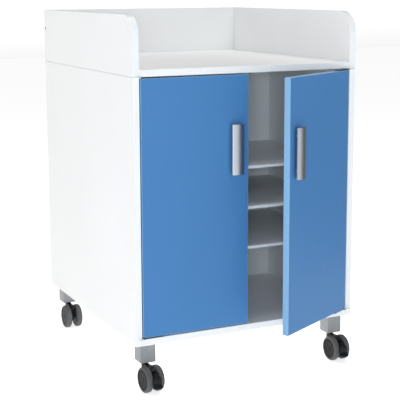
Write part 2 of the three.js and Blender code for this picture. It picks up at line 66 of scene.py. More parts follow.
CAMERA_PLACE = (-1.4425, -2.9818, 1.1165)
CAMERA_YAW_DEG = 25.62
CAMERA_PITCH_DEG = 9.246
CAMERA_ROLL_DEG = -0.22
CAMERA_LENS_MM = 98.58
CAMERA_SENSOR_MM = 36
CAMERA_SHIFT_DOWN = 0.0875

FLOOR_HALF = 14.0
FLOOR_GREY = 0.93
FLOOR_GLOW = 0.66

WHITE_LIGHT = (1, 1, 1)
COOL = (0.93, 0.965, 1.0)
COOLER = (0.76, 0.9, 1.0)
MID_CABINET = (0, 0, 0.5)

CARD_X = 1.45
CARD_FRONT = -1.0
CARD_REAR = 0.9
CARD_TOP = 0.9
CARD_GREY = 0.1

WORLD_LEVEL = 0.3
WORLD_FROM_LEFT = 0.16
HORIZON_GLOW = 0.95
HORIZON_BAND = 0.22


def make_camera():
    """The photograph's viewpoint."""
    data = bpy.data.cameras.new("camera")
    data.lens = CAMERA_LENS_MM
    data.sensor_width = CAMERA_SENSOR_MM
    data.shift_y = -CAMERA_SHIFT_DOWN
    camera = bpy.data.objects.new("camera", data)
    bpy.context.scene.collection.objects.link(camera)
    turn = Matrix.Rotation(math.radians(-CAMERA_YAW_DEG), 4, "Z")
    turn @= Matrix.Rotation(math.radians(90 - CAMERA_PITCH_DEG), 4, "X")
    turn @= Matrix.Rotation(math.radians(CAMERA_ROLL_DEG), 4, "Z")
    camera.matrix_world = Matrix.Translation(CAMERA_PLACE) @ turn
    bpy.context.scene.camera = camera


def staged_sheet(name, corners, grey, roughness):
    """A flat sheet that belongs to the studio, with the shader of its material."""
    mesh = bpy.data.meshes.new(name)
    mesh.from_pydata(corners, [], [(0, 1, 2, 3)])
    sheet = bpy.data.objects.new(name, mesh)
    bpy.context.scene.collection.objects.link(sheet)
    material, shader = new_material(name)
    shader.inputs["Base Color"].default_value = (grey, grey, grey, 1)
    shader.inputs["Roughness"].default_value = roughness
    mesh.materials.append(material)
    return sheet, shader


def make_floor():
    """A pale floor that glows a little, so that it stays as white as the photograph's."""
    half = FLOOR_HALF
    corners = [(-half, -half, 0), (half, -half, 0), (half, half, 0), (-half, half, 0)]
    _, shader = staged_sheet("floor", corners, FLOOR_GREY, roughness=0.8)
    shader.inputs["Emission Color"].default_value = (1, 1, 1, 1)
    shader.inputs["Emission Strength"].default_value = FLOOR_GLOW


def math_node(tree, operation, first, second):
    """The output of a Math node, whose inputs are sockets or numbers."""
    node = tree.nodes.new("ShaderNodeMath")
    node.operation = operation
    for socket, value in zip(node.inputs, (first, second)):
        if isinstance(value, bpy.types.NodeSocket):
            tree.links.new(value, socket)
        else:
            socket.default_value = value
    return node.outputs[0]


def make_world():
    """A soft white room: bright at the horizon, and a little brighter on the left."""
    world = bpy.data.worlds.new("studio")
    bpy.context.scene.world = world
    world.use_nodes = True
    tree = world.node_tree
    way = tree.nodes.new("ShaderNodeTexCoord").outputs["Generated"]
    split = tree.nodes.new("ShaderNodeSeparateXYZ")
    tree.links.new(way, split.inputs[0])
    from_left = math_node(tree, "MULTIPLY", split.outputs["X"], -WORLD_FROM_LEFT)
    height = math_node(tree, "ABSOLUTE", split.outputs["Z"], 0.0)
    fading = math_node(tree, "DIVIDE", height, HORIZON_BAND)
    near = math_node(tree, "SUBTRACT", 1.0, fading)
    band = math_node(tree, "MAXIMUM", near, 0.0)
    horizon = math_node(tree, "MULTIPLY", band, HORIZON_GLOW)
    both = math_node(tree, "ADD", from_left, horizon)
    level = math_node(tree, "ADD", both, WORLD_LEVEL)
    background = tree.nodes["Background"]
    background.inputs["Color"].default_value = (1, 1, 1, 1)
    tree.links.new(level, background.inputs["Strength"])


def area_light(name, place, target, size, watts, colour=WHITE_LIGHT):
    """A rectangular softbox at place that looks at target."""
    data = bpy.data.lights.new(name, "AREA")
    data.shape = "RECTANGLE"
    data.size, data.size_y = size
    data.energy = watts
    data.color = colour
    light = bpy.data.objects.new(name, data)
    bpy.context.scene.collection.objects.link(light)
    light.location = place
    aim = Vector(target) - Vector(place)
    light.rotation_euler = aim.to_track_quat("-Z", "Y").to_euler()


def make_lights():
    """Soft light from the left, the front, the right and above."""
    area_light(
        "left_softbox", place=(-3.3, 0.0, 0.3), target=(0, 0, 0.3), size=(1.4, 0.4), watts=3
    )
    area_light(
        "front_softbox",
        place=(-1.0, -3.9, 2.1),
        target=MID_CABINET,
        size=(2.0, 1.6),
        watts=6,
        colour=COOL,
    )
    area_light(
        "right_softbox",
        place=(1.3, -3.7, 2.8),
        target=MID_CABINET,
        size=(1.6, 1.4),
        watts=10,
        colour=COOL,
    )
    area_light(
        "low_front_fill",
        place=(-1.6, -3.3, 1.1),
        target=MID_CABINET,
        size=(0.6, 0.5),
        watts=28.5,
        colour=COOLER,
    )
    area_light(
        "top_softbox", place=(0.2, 0.0, 4.0), target=MID_CABINET, size=(3.0, 3.0), watts=66
    )


def make_dark_card():
    """A dark studio card on the right, seen only in the door's and handles' reflections."""
    corners = [(CARD_X, CARD_FRONT, 0), (CARD_X, CARD_REAR, 0)]
    corners += [(CARD_X, CARD_REAR, CARD_TOP), (CARD_X, CARD_FRONT, CARD_TOP)]
    card, _ = staged_sheet("dark_card", corners, CARD_GREY, roughness=0.9)
    card.visible_camera = False
    card.visible_diffuse = False
    card.visible_shadow = False


# ---- materials ------------------------------------------------------------------------

# Noise stays between these two almost everywhere.
NOISE_LOW = 0.3
NOISE_HIGH = 0.7

WHITE_FACING = (0.87, 0.866, 0.862)
WHITE_BAND = (0.8, 0.812, 0.826)
BLUE_FACING = (0.06, 0.2, 0.445)
# Lighter than the blue facing: partly the band's own lighter blue, partly a painted highlight of the light on the
# doors' edges.
BLUE_BAND_WITH_HIGHLIGHT = (0.2, 0.4, 0.64)
CHIP_DARK = (0.28, 0.19, 0.11)
CHIP_LIGHT = (0.5, 0.38, 0.25)
CAP_WHITE = (0.84, 0.84, 0.84)
ALUMINIUM = (0.5, 0.52, 0.555)
ZINC = (0.62, 0.63, 0.64)
# Gallery screw heads: zinc steel coloured dark grey, as painted shade of the heads and their cross recesses.
SCREW_GREY_PAINTED_SHADE = (0.2, 0.2, 0.21)
# Near black: painted shade, so that the hinge plates in the door gaps take on the gaps' shade.
DARK_COAT_PAINTED_SHADE = (0.03, 0.032, 0.037)
BLOCK_GREY = (0.25, 0.255, 0.262)
CASTER_BLACK = (0.006, 0.006, 0.007)
COVER_BLACK = (0.01, 0.0095, 0.0098)
TREAD_GREY = (0.085, 0.085, 0.086)

# How a noise is scaled along each axis
EVEN = (1, 1, 1)
ALONG_HANDLE = (1, 1, 0.02)
ALONG_BAND = (1, 1, 0.05)


def new_material(name):
    """A material and the shader that its maker fills in."""
    material = bpy.data.materials.new(name)
    material.use_nodes = True
    return material, material.node_tree.nodes["Principled BSDF"]


def noise(tree, scale, detail=2.0, stretch=EVEN):
    """Noise fixed to the piece, with scale given in features per metre."""
    place = tree.nodes.new("ShaderNodeTexCoord").outputs["Object"]
    mapping = tree.nodes.new("ShaderNodeMapping")
    mapping.inputs["Scale"].default_value = stretch
    tree.links.new(place, mapping.inputs["Vector"])
    texture = tree.nodes.new("ShaderNodeTexNoise")
    texture.inputs["Scale"].default_value = scale
    texture.inputs["Detail"].default_value = detail
    tree.links.new(mapping.outputs["Vector"], texture.inputs["Vector"])
    return texture.outputs["Fac"]


def coloured(tree, shader, factor, low, high):
    """Base colour from low to high as factor goes through the middle of its range."""
    ramp = tree.nodes.new("ShaderNodeValToRGB")
    first, last = ramp.color_ramp.elements
    first.position = NOISE_LOW
    first.color = (*low, 1)
    last.position = NOISE_HIGH
    last.color = (*high, 1)
    tree.links.new(factor, ramp.inputs["Fac"])
    tree.links.new(ramp.outputs["Color"], shader.inputs["Base Color"])


def roughened(tree, shader, factor, low, high):
    """Roughness from low to high, in the same way."""
    spread = tree.nodes.new("ShaderNodeMapRange")
    spread.inputs["From Min"].default_value = NOISE_LOW
    spread.inputs["From Max"].default_value = NOISE_HIGH
    spread.inputs["To Min"].default_value = low
    spread.inputs["To Max"].default_value = high
    tree.links.new(factor, spread.inputs["Value"])
    tree.links.new(spread.outputs["Result"], shader.inputs["Roughness"])


def bumped(tree, shader, factor, depth):
    """A fine relief, with its depth in metres."""
    bump = tree.nodes.new("ShaderNodeBump")
    bump.inputs["Strength"].default_value = 1.0
    bump.inputs["Distance"].default_value = depth
    tree.links.new(factor, bump.inputs["Height"])
    tree.links.new(bump.outputs["Normal"], shader.inputs["Normal"])


def shaded(colour, factor):
    """The colour made darker or lighter."""
    return tuple(channel * factor for channel in colour)


def melamine(name, colour, roughness, shine=0.5):
    """Laminate facing: cloudy by a hair, with the fine pearl of its press plate."""
    material, shader = new_material(name)
    tree = material.node_tree
    shader.inputs["Specular IOR Level"].default_value = shine
    coloured(tree, shader, noise(tree, 2.5), shaded(colour, 0.985), shaded(colour, 1.015))
    roughened(tree, shader, noise(tree, 60), roughness - 0.03, roughness + 0.04)
    bumped(tree, shader, noise(tree, 700, 3), 0.03 * MM)
    return material


def edge_band(name, colour, roughness, shine=0.5):
    """Plastic edge band: smoother than the facing, with faint lines along its length."""
    material, shader = new_material(name)
    tree = material.node_tree
    shader.inputs["Specular IOR Level"].default_value = shine
    coloured(tree, shader, noise(tree, 6), shaded(colour, 0.99), shaded(colour, 1.01))
    roughened(tree, shader, noise(tree, 90), roughness - 0.03, roughness + 0.03)
    bumped(tree, shader, noise(tree, 300, 2, ALONG_BAND), 0.02 * MM)
    return material


def chipboard():
    """The raw core, which shows only inside drilled holes."""
    material, shader = new_material("chipboard_core")
    tree = material.node_tree
    coloured(tree, shader, noise(tree, 900, 4), CHIP_DARK, CHIP_LIGHT)
    roughened(tree, shader, noise(tree, 900), 0.8, 0.95)
    bumped(tree, shader, noise(tree, 900, 4), 0.2 * MM)
    return material


def brushed_metal(name, colour, roughness, stretch=EVEN):
    """Bare metal with a fine grain, drawn out along the axis that stretch shortens."""
    material, shader = new_material(name)
    tree = material.node_tree
    shader.inputs["Metallic"].default_value = 1.0
    grain = noise(tree, 1400, 2, stretch)
    coloured(tree, shader, grain, shaded(colour, 0.94), shaded(colour, 1.04))
    roughened(tree, shader, grain, roughness - 0.05, roughness + 0.07)
    bumped(tree, shader, grain, 0.015 * MM)
    return material


def moulded(name, colour, roughness, depth, shine=0.5, grain=1500):
    """Moulded plastic or powder coat, with a grain of so many features per metre."""
    material, shader = new_material(name)
    tree = material.node_tree
    shader.inputs["Specular IOR Level"].default_value = shine
    coloured(tree, shader, noise(tree, 25), shaded(colour, 0.92), shaded(colour, 1.08))
    roughened(tree, shader, noise(tree, 120), roughness - 0.05, roughness + 0.06)
    bumped(tree, shader, noise(tree, grain, 3), depth)
    return material


def make_materials():
    """Every finish of the cabinet, by a short name."""
    return {
        "white": melamine("white_melamine", WHITE_FACING, roughness=0.42),
        "white_edge": edge_band("white_edge_band", WHITE_BAND, roughness=0.3),
        "blue": melamine("blue_melamine", BLUE_FACING, roughness=0.4, shine=0.2),
        # Door edge bands: lighter blue, partly their own colour and partly painted highlight.
        "blue_edge": edge_band("blue_edge_band", BLUE_BAND_WITH_HIGHLIGHT, roughness=0.3, shine=0.4),
        "core": chipboard(),
        "cap": moulded("white_cap", CAP_WHITE, roughness=0.4, depth=0.01 * MM),
        "aluminium": brushed_metal("satin_aluminium", ALUMINIUM, 0.34, ALONG_HANDLE),
        "zinc": brushed_metal("zinc_plated_steel", ZINC, roughness=0.36),
        # Gallery screws: dark grey as painted shade of their heads and recesses.
        "screw": brushed_metal("dark_screw_steel", SCREW_GREY_PAINTED_SHADE, roughness=0.42),
        # Hinge plates: near black as painted shade of the door gaps.
        "hinge": moulded("dark_powder_coat", DARK_COAT_PAINTED_SHADE, roughness=0.42, depth=0.03 * MM),
        "grey": moulded("grey_satin_block", BLOCK_GREY, roughness=0.36, depth=0.02 * MM),
        "black": moulded("black_moulding", CASTER_BLACK, 0.36, 0.02 * MM, shine=0.25),
        "disc": moulded("wheel_disc", COVER_BLACK, 0.42, 0.02 * MM, shine=0.12),
        "tread": moulded("soft_tread", TREAD_GREY, 0.5, 0.04 * MM, shine=0.35, grain=900),
    }


# ---- mesh tools -----------------------------------------------------------------------

WELD = 0.005 * MM
FLAT = math.radians(1)
SHARP = math.radians(35)


def nodes_named(prefix):
    """The CAD nodes whose names start with the prefix."""
    return [node for node in NODES if node.startswith(prefix)]


def centre_of(node):
    """The middle of the node's box."""
    low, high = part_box(node)
    return (low + high) / 2


def end_of(node, sign):
    """The middle of that face of the node's box which looks along +X or -X."""
    low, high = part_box(node)
    centre = centre_of(node)
    return Vector((high.x if sign > 0 else low.x, centre.y, centre.z))


def facing(sign):
    """Turns what points along +X to point along +X or -X."""
    return Matrix.Rotation(0 if sign > 0 else math.pi, 4, "Z")


def copy_of(node):
    """The CAD node's surface with its split vertices welded and its flat faces whole."""
    bm = bmesh.new()
    bm.from_mesh(NODES[node].data)
    bmesh.ops.remove_doubles(bm, verts=bm.verts, dist=WELD)
    bmesh.ops.dissolve_limit(bm, angle_limit=FLAT, verts=bm.verts, edges=bm.edges)
    return bm


def soften(bm, width, segments=3, shortest=0.0):
    """Rounds every sharp edge that is longer than shortest."""
    edges = [
        edge
        for edge in bm.edges
        if edge.calc_face_angle(0) > SHARP and edge.calc_length() > shortest
    ]
    bmesh.ops.bevel(
        bm, geom=edges, offset=width, segments=segments, profile=0.5, affect="EDGES"
    )


def piece(name, bm, body, look, replaced=()):
    """Finishes a surface as one visual piece, in one look or in a list of them."""
    bmesh.ops.recalc_face_normals(bm, faces=bm.faces)
    for face in bm.faces:
        face.smooth = True
    for edge in bm.edges:
        edge.smooth = edge.calc_face_angle(0) < SHARP
    mesh = bpy.data.meshes.new(name)
    bm.to_mesh(mesh)
    bm.free()
    for material in look if isinstance(look, list) else [look]:
        mesh.materials.append(material)
    obj = bpy.data.objects.new(name, mesh)
    bpy.context.scene.collection.objects.link(obj)
    normals = obj.modifiers.new("normals", "WEIGHTED_NORMAL")
    normals.keep_sharp = True
    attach(obj, body)
    if replaced:
        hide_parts(*replaced)


def stand_for(node, suffix, bm, look):
    """A piece that takes the place of one CAD node, on its body."""
    piece(node + suffix, bm, BODY_OF[node], look, [node])


def lathe(bm, profile, place, segments=48):
    """Turns (radius, along) points round the X axis of place."""
    rings = []
    for radius, along in profile:
        count = segments if radius > WELD else 1
        angles = [2 * math.pi * step / count for step in range(count)]
        turned = [Vector((along, radius * math.cos(a), radius * math.sin(a))) for a in angles]
        rings.append([bm.verts.new(place @ point) for point in turned])
    for near, far in zip(rings, rings[1:]):
        if len(near) + len(far) == 2:
            continue
        for step in range(segments):
            after = step + 1
            corners = [near[step % len(near)], near[after % len(near)]]
            corners += [far[after % len(far)], far[step % len(far)]]
            bm.faces.new(dict.fromkeys(corners))


def loft(bm, sections, place):
    """A closed solid through (x, outline) sections, each outline a list of (y, z)."""
    rings = []
    for x, outline in sections:
        rings.append([bm.verts.new(place @ Vector((x, y, z))) for y, z in outline])
    bm.faces.new(rings[0])
    bm.faces.new(rings[-1])
    for near, far in zip(rings, rings[1:]):
        for step in range(len(near)):
            after = (step + 1) % len(near)
            bm.faces.new((near[step], near[after], far[after], far[step]))


def prism(bm, outline, low, high, place):
    """Extrudes (y, z) points along the X axis of place, from low to high."""
    loft(bm, [(low, outline), (high, outline)], place)


def arc(centre, radius, start_deg, end_deg, count):
    """Points round a centre, from one angle to the other in count steps."""
    points = []
    for step in range(count + 1):
        angle = math.radians(start_deg + (end_deg - start_deg) * step / count)
        x = centre[0] + radius * math.cos(angle)
        points.append((x, centre[1] + radius * math.sin(angle)))
    return points


def loose_object(bm):
    """An object made for a boolean, which is removed after it."""
    bmesh.ops.recalc_face_normals(bm, faces=bm.faces)
    mesh = bpy.data.meshes.new("loose")
    bm.to_mesh(mesh)
    bm.free()
    obj = bpy.data.objects.new("loose", mesh)
    bpy.context.scene.collection.objects.link(obj)
    return obj


def combined(first, second, operation):
    """Both surfaces joined or cut by Blender's exact boolean."""
    base = loose_object(first)
    tool = loose_object(second)
    boolean = base.modifiers.new("boolean", "BOOLEAN")
    boolean.operation = operation
    boolean.solver = "EXACT"
    boolean.object = tool
    graph = bpy.context.evaluated_depsgraph_get()
    result = bmesh.new()
    result.from_mesh(base.evaluated_get(graph).to_mesh())
    bpy.data.objects.remove(base)
    bpy.data.objects.remove(tool)
    return result


def with_rod(bm, profile, place, segments, operation="UNION"):
    """The surface with a turned shape added to it or cut from it."""
    rod = bmesh.new()
    lathe(rod, profile, place, segments)
    return combined(bm, rod, operation)


def with_prism(bm, outline, low, high, place, operation="UNION"):
    """The surface with an extruded shape added to it or cut from it."""
    block = bmesh.new()
    prism(block, outline, low, high, place)
    return combined(bm, block, operation)


# ---- boards ---------------------------------------------------------------------------

BAND_RADIUS = 1.2 * MM
THIN_BAND_RADIUS = 0.6 * MM
SHORTEST_BOARD_EDGE = 4 * MM
HOLE_MARGIN = 3 * MM
HOLE_FACET = 3 * MM
PARALLEL = 0.999
SQUARE = 0.01
FACING, BAND, CORE = range(3)


def is_hole_wall(face, low, high, across):
    """True for a narrow face that runs through the board, well inside its outline."""
    if abs(face.normal.dot(across)) > SQUARE:
        return False
    if min(edge.calc_length() for edge in face.edges) > HOLE_FACET:
        return False
    middle = face.calc_center_median()
    return all(
        min(middle[axis] - low[axis], high[axis] - middle[axis]) >= HOLE_MARGIN
        for axis in range(3)
        if abs(across[axis]) < PARALLEL
    )


def board(node, facing_look, band_look, core_look, radius=BAND_RADIUS):
    """A board with its two facings, its rounded edge bands and raw wood in its holes."""
    bm = copy_of(node)
    across = max(bm.faces, key=lambda face: face.calc_area()).normal.copy()
    soften(bm, radius, 3, SHORTEST_BOARD_EDGE)
    low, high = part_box(node)
    straight = max(abs(value) for value in across) > PARALLEL
    for face in bm.faces:
        flat = abs(face.normal.dot(across)) > PARALLEL
        face.material_index = FACING if flat else BAND
        if straight and is_hole_wall(face, low, high, across):
            face.material_index = CORE
    stand_for(node, "_board", bm, [facing_look, band_look, core_look])


def make_boards(looks):
    """The white carcass, gallery and shelves, and the two blue doors."""
    white = [node for node, slot in SLOT_OF.items() if slot == "white_board"]
    for node in white:
        thin = node.startswith("shelf_") or node == "inner_back_panel"
        radius = THIN_BAND_RADIUS if thin else BAND_RADIUS
        board(node, looks["white"], looks["white_edge"], looks["core"], radius)
    for side, _ in SIDES:
        board(side + "_door", looks["blue"], looks["blue_edge"], looks["core"])


# ---- doors' fittings ------------------------------------------------------------------

HANDLE_WALL = 2 * MM
HANDLE_EDGE = 7 * MM
HANDLE_BOW = 3 * MM
HANDLE_ROUNDING = 1.1 * MM
POST_RADIUS = 5 * MM
POST_FOOT_RADIUS = 6.2 * MM
POST_FOOT_HEIGHT = 0.8 * MM
POST_CLEARANCE = 0.4 * MM
POST_SPACING = 96 * MM
POST_ENDS = (("lower", -0.5), ("upper", 0.5))

SCREW_RADIUS = 4.2 * MM
SCREW_RISE = 2.2 * MM
CROSS_HALF = 0.45 * MM
CROSS_REACH = 2.3 * MM
CROSS_DEPTH = 1.2 * MM

PLATE_ROUNDING = 0.25 * MM
SHORTEST_PLATE_EDGE = 3 * MM
LEAF, LUG_COVER = range(2)

MIRROR = Matrix.Scale(-1, 4, (1, 0, 0))
QUARTER = math.radians(90)


def onto_door(side):
    """Moves what was built on the closed left door onto the door of that side."""
    if side == "left":
        return Matrix.Identity(4)
    joint = JOINTS["right_door_hinge"]
    open_by = -joint["range_deg"][0]
    pivot = Vector(joint["pos_m"])
    turn = Matrix.Rotation(math.radians(open_by), 4, "Z")
    return Matrix.Translation(pivot) @ turn @ Matrix.Translation(-pivot) @ MIRROR


def bow(half, edge, rise, count=28):
    """A bowed line from one long edge of the handle to the other, as (across, outward)."""
    points = []
    for step in range(count + 1):
        along = step / count
        across = -half + 2 * half * along
        points.append((across, edge + 4 * rise * along * (1 - along)))
    return points


def handle_block(low, high, inset):
    """The handle's outer shape or, with an inset, the hollow behind its face."""
    middle = (low.x + high.x) / 2
    face = high.y
    half = (high.x - low.x) / 2 - inset
    shoulder = (face - low.y) - HANDLE_BOW - inset
    back = shoulder - HANDLE_EDGE - (HANDLE_WALL if inset else 0)
    outline = [(half, back), (-half, back)]
    outline += bow(half, shoulder, HANDLE_BOW)
    axes = Matrix(((0, 1, 0, middle), (0, 0, -1, face), (1, 0, 0, 0), (0, 0, 0, 1)))
    bm = bmesh.new()
    prism(bm, outline, low.z + inset, high.z - inset, axes)
    return bm


def post_profile(reach):
    """A round post on a flared foot."""
    profile = [(0, 0), (POST_FOOT_RADIUS, 0), (POST_FOOT_RADIUS, POST_FOOT_HEIGHT)]
    return profile + [(POST_RADIUS, 2 * POST_FOOT_HEIGHT), (POST_RADIUS, reach), (0, reach)]


def at_posts(door_face):
    """Where each of the left handle's posts meets that face of the left door."""
    centre = centre_of("left_handle")
    for end, step in POST_ENDS:
        yield end, Vector((centre.x, door_face, centre.z + step * POST_SPACING))


def make_handle(side, looks):
    """A hollow bowed bar on two posts."""
    low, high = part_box("left_handle")
    door_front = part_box("left_door")[0].y
    high = Vector((high.x, door_front, high.z))
    outer = handle_block(low, high, 0)
    soften(outer, HANDLE_ROUNDING)
    bm = combined(outer, handle_block(low, high, HANDLE_WALL), "DIFFERENCE")
    reach = door_front - low.y - HANDLE_WALL - POST_CLEARANCE
    outward = Matrix.Rotation(-QUARTER, 4, "Z")
    for _, foot in at_posts(door_front):
        lathe(bm, post_profile(reach), Matrix.Translation(foot) @ outward, 32)
    bm.transform(onto_door(side))
    stand_for(side + "_handle", "_bow", bm, looks["aluminium"])


def screw_head():
    """A pan head with a cross recess, its axis along X and its seat at the origin."""
    profile = [(0, SCREW_RISE)]
    for across, up in arc((0, 0), 1.0, 90, 0, 8):
        profile.append((SCREW_RADIUS * (0.45 + 0.55 * across), SCREW_RISE * (0.35 + 0.65 * up)))
    profile += [(SCREW_RADIUS, 0), (0, 0)]
    head = bmesh.new()
    lathe(head, profile, Matrix.Identity(4), 40)
    blade = [(-CROSS_REACH, -CROSS_HALF), (CROSS_REACH, -CROSS_HALF)]
    blade += [(CROSS_REACH, CROSS_HALF), (-CROSS_REACH, CROSS_HALF)]
    for degrees in (0, 90):
        spin = Matrix.Rotation(math.radians(degrees), 4, "X")
        floor = SCREW_RISE - CROSS_DEPTH
        head = with_prism(head, blade, floor, SCREW_RISE + MM, spin, "DIFFERENCE")
    return head


def make_handle_screws(side, looks):
    """The screws that hold a handle, seen on the inner face of its door."""
    inward = Matrix.Rotation(QUARTER, 4, "Z")
    for end, place in at_posts(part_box("left_door")[1].y):
        bm = screw_head()
        bm.transform(onto_door(side) @ Matrix.Translation(place) @ inward)
        name = "_".join((side, "handle_screw", end))
        piece(name, bm, side + "_door", looks["zinc"])


def make_pivots(looks):
    """The thin hinge plates: dark leaves, whose near-black coat is painted shade of the door gaps they sit in,
    with a white cover on each pin's lug.
    """
    for node in nodes_named("pivot_"):
        bm = copy_of(node)
        soften(bm, PLATE_ROUNDING, 2, SHORTEST_PLATE_EDGE)
        onto = Matrix.Identity(4)
        if "right" in node:
            onto = onto_door("right") if BODY_OF[node] == "right_door" else MIRROR
        seam = onto @ Vector((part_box("left_door")[0].x, 0, 0))
        inward = onto.to_3x3() @ Vector((1, 0, 0))
        geometry = bm.verts[:] + bm.edges[:] + bm.faces[:]
        bmesh.ops.bisect_plane(bm, geom=geometry, plane_co=seam, plane_no=inward)
        for face in bm.faces:
            outboard = (face.calc_center_median() - seam).dot(inward) < 0
            face.material_index = LUG_COVER if outboard else LEAF
        stand_for(node, "_plate", bm, [looks["hinge"], looks["cap"]])


# ---- carcass fittings -----------------------------------------------------------------

SHANK_RADIUS = 2 * MM
SHANK_TIP_RADIUS = 0.4 * MM
SHANK_LENGTH = 45 * MM
SHANK_POINT = 5 * MM

PIN_RADIUS = 2.5 * MM
PIN_PLUG = 8 * MM

CAP_RADIUS = 4.2 * MM
CAP_RISE = 0.7 * MM
CAP_PLUG_RADIUS = 2.7 * MM
CAP_PLUG_TIP_RADIUS = 2.1 * MM
CAP_PLUG = 7 * MM
HOLE_PITCH = 32 * MM


def make_gallery_screws(looks):
    """The two screws through the gallery's sides into its back."""
    shank = [(0, 0), (SHANK_RADIUS, 0), (SHANK_RADIUS, SHANK_LENGTH - SHANK_POINT)]
    shank += [(SHANK_TIP_RADIUS, SHANK_LENGTH), (0, SHANK_LENGTH)]
    for side, sign in SIDES:
        node = "gallery_screw_" + side
        seat = Matrix.Translation(end_of(node, sign) - Vector((sign * SCREW_RISE, 0, 0)))
        bm = screw_head()
        bm.transform(seat @ facing(sign))
        lathe(bm, shank, seat @ facing(-sign), 20)
        stand_for(node, "_head", bm, looks["screw"])


def pin_sign(node):
    """+1 for a pin in the right side panel, -1 for one in the left."""
    return 1 if node.endswith("right") else -1


def pin_profile(collar, length):
    """A plug with a small lead, and a collar with a rounded nose for the shelf."""
    profile = [(0, 0), (PIN_RADIUS - 0.5 * MM, 0), (PIN_RADIUS, 0.6 * MM)]
    profile += [(PIN_RADIUS, PIN_PLUG), (collar - 0.3 * MM, PIN_PLUG)]
    profile += [(collar, PIN_PLUG + 0.3 * MM), (collar, length - 1.2 * MM)]
    profile += [(collar - 0.5 * MM, length - 0.3 * MM)]
    return profile + [(collar - 1.3 * MM, length), (0, length)]


def make_shelf_pins(looks):
    """Turned pins, plugged into the sides from inside."""
    for node in nodes_named("shelf_pin_"):
        sign = pin_sign(node)
        low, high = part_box(node)
        profile = pin_profile((high.z - low.z) / 2, high.x - low.x)
        bm = bmesh.new()
        lathe(bm, profile, Matrix.Translation(end_of(node, sign)) @ facing(-sign), 28)
        stand_for(node, "_turned", bm, looks["zinc"])


def cap_profile():
    """A press-in cap: a domed head on a short plug with a tapered tip."""
    profile = [(0, CAP_RISE)]
    for across, up in arc((0, 0), 1.0, 90, 0, 5):
        profile.append((CAP_RADIUS * (0.6 + 0.4 * across), CAP_RISE * up))
    profile += [(CAP_PLUG_RADIUS, 0), (CAP_PLUG_RADIUS - 0.1 * MM, MM - CAP_PLUG)]
    return profile + [(CAP_PLUG_TIP_RADIUS, -CAP_PLUG), (0, -CAP_PLUG)]


def make_hole_caps(looks):
    """White caps in the spare pin holes above and below each shelf."""
    inner_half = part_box("right_side_panel")[0].x
    for node in nodes_named("shelf_pin_"):
        sign = pin_sign(node)
        centre = centre_of(node)
        bm = bmesh.new()
        for step in (-HOLE_PITCH, HOLE_PITCH):
            mouth = Vector((sign * inner_half, centre.y, centre.z + step))
            lathe(bm, cap_profile(), Matrix.Translation(mouth) @ facing(-sign), 24)
        name = node.replace("pin", "hole_caps")
        piece(name, bm, BODY_OF[node], looks["cap"])


# ---- casters --------------------------------------------------------------------------

AXLE_RADIUS = 4 * MM
BORE_RADIUS = 4.4 * MM
AXLE_END_COVER = 5 * MM

# Wheels. The bead's points are (outside the cover's rim, below the wheel's face) and the
# cover's are (inside its rim, below its face), then (from the axle, below its face).
SHOULDER = 6.2 * MM
SHOULDER_STEP = 0.7 * MM
BEAD_WIDTH = 2.6 * MM
BEAD_MM = ((2.2, 0.2), (1.4, 0), (0.5, 0.2), (0, 1))
HUB_RADIUS = 10 * MM
HUB_RECESS = 3 * MM
WEB_RECESS = 1 * MM
TYRE_WALL = 11 * MM
COVER_SHARE = 0.8
COVER_GAP = 0.2 * MM
COVER_SINK = 0.3 * MM
COVER_DEPTH = 3 * MM
COVER_GROOVE_MM = ((0, 0.6), (0.6, 0), (2.6, 0), (3.2, 0.8), (3.9, 0.8), (4.6, 0.1))
COVER_MIDDLE_MM = ((14, 0.6), (8.5, 0.9), (8.2, 0.2), (7.4, 0), (0, 0))

# Hoods. The cowl's back is (behind the neck, above the axle) and the neck is
# (radius, below its top).
COWL_UNDER_TREAD = 2 * MM
COWL_INNER = 12 * MM
COWL_SIDE_GAP = 0.6 * MM
COWL_FRONT_DEG = 126
COWL_CORNER = 4 * MM
COWL_ROUNDING = 1.6 * MM
COWL_BACK_MM = ((-6, 0), (-2.5, 2), (-0.6, 6), (0, 16))
NECK_RADIUS = 9 * MM
NECK_TOP_GAP = 1 * MM
NECK_MM = ((0, 16), (9, 16), (9, 4.5), (8.3, 4.1), (8.3, 3.5), (9, 3.1), (9, 0.6), (8.4, 0))
WEB_RADIUS = 17 * MM
WEB_HALF = 3.5 * MM
WEB_CHAMFER = 1 * MM

# Brake pedals: a curved face on a fork, with a foot lip and a thumb paddle
PEDAL_FACE = 40 * MM
PEDAL_THICK = 6 * MM
PEDAL_HALF = 7.2 * MM
PEDAL_TOP_DEG = 138
PEDAL_LOW_DEG = 192
PEDAL_ROUNDING = 1.2 * MM
LIP_HALF = 14 * MM
LIP_ROOT = 39.6 * MM
LIP_REACH = 55 * MM
LIP_BEND = 1 * MM
LIP_ROOT_DROP = 2 * MM
LIP_TOP_DROP = 9.5 * MM
LIP_UNDER_DROP = 16.5 * MM
LIP_CORNER = 10 * MM
LIP_NOSE = 2.5 * MM
LIP_ROUNDING = 0.8 * MM
LIP_SLICES = 16
PADDLE_MIDDLE_DEG = 176
PADDLE_SPREAD_DEG = 25
PADDLE_TIP_DEG = 1
PADDLE_CLEARANCE = 0.9 * MM
PADDLE_CROWN = 0.6 * MM
RIB_RADIUS = 0.9 * MM
RIB_FROM_TIP = 4.5 * MM
RIB_PITCH = 3.2 * MM
RIB_HALF = 6 * MM
RIB_GROWTH = 1.5 * MM
RIB_DROP = 9.6 * MM
RIB_CLIMB = 0.35 * MM
FORK_NEAR = 3.85 * MM
FORK_FAR = 6.05 * MM
FORK_ROOT = 7.5 * MM
FORK_ROOT_DEG = (118, 218)
FORK_TIP_DEG = (164, 176)
FORK_OVERLAP = 1 * MM
EYE_RADIUS = 8.5 * MM
EYE_DEG = (230, 470)
BORE_HALF = 8 * MM

BLOCK_ROUNDING = 1.8 * MM
SHORTEST_BLOCK_EDGE = 10 * MM


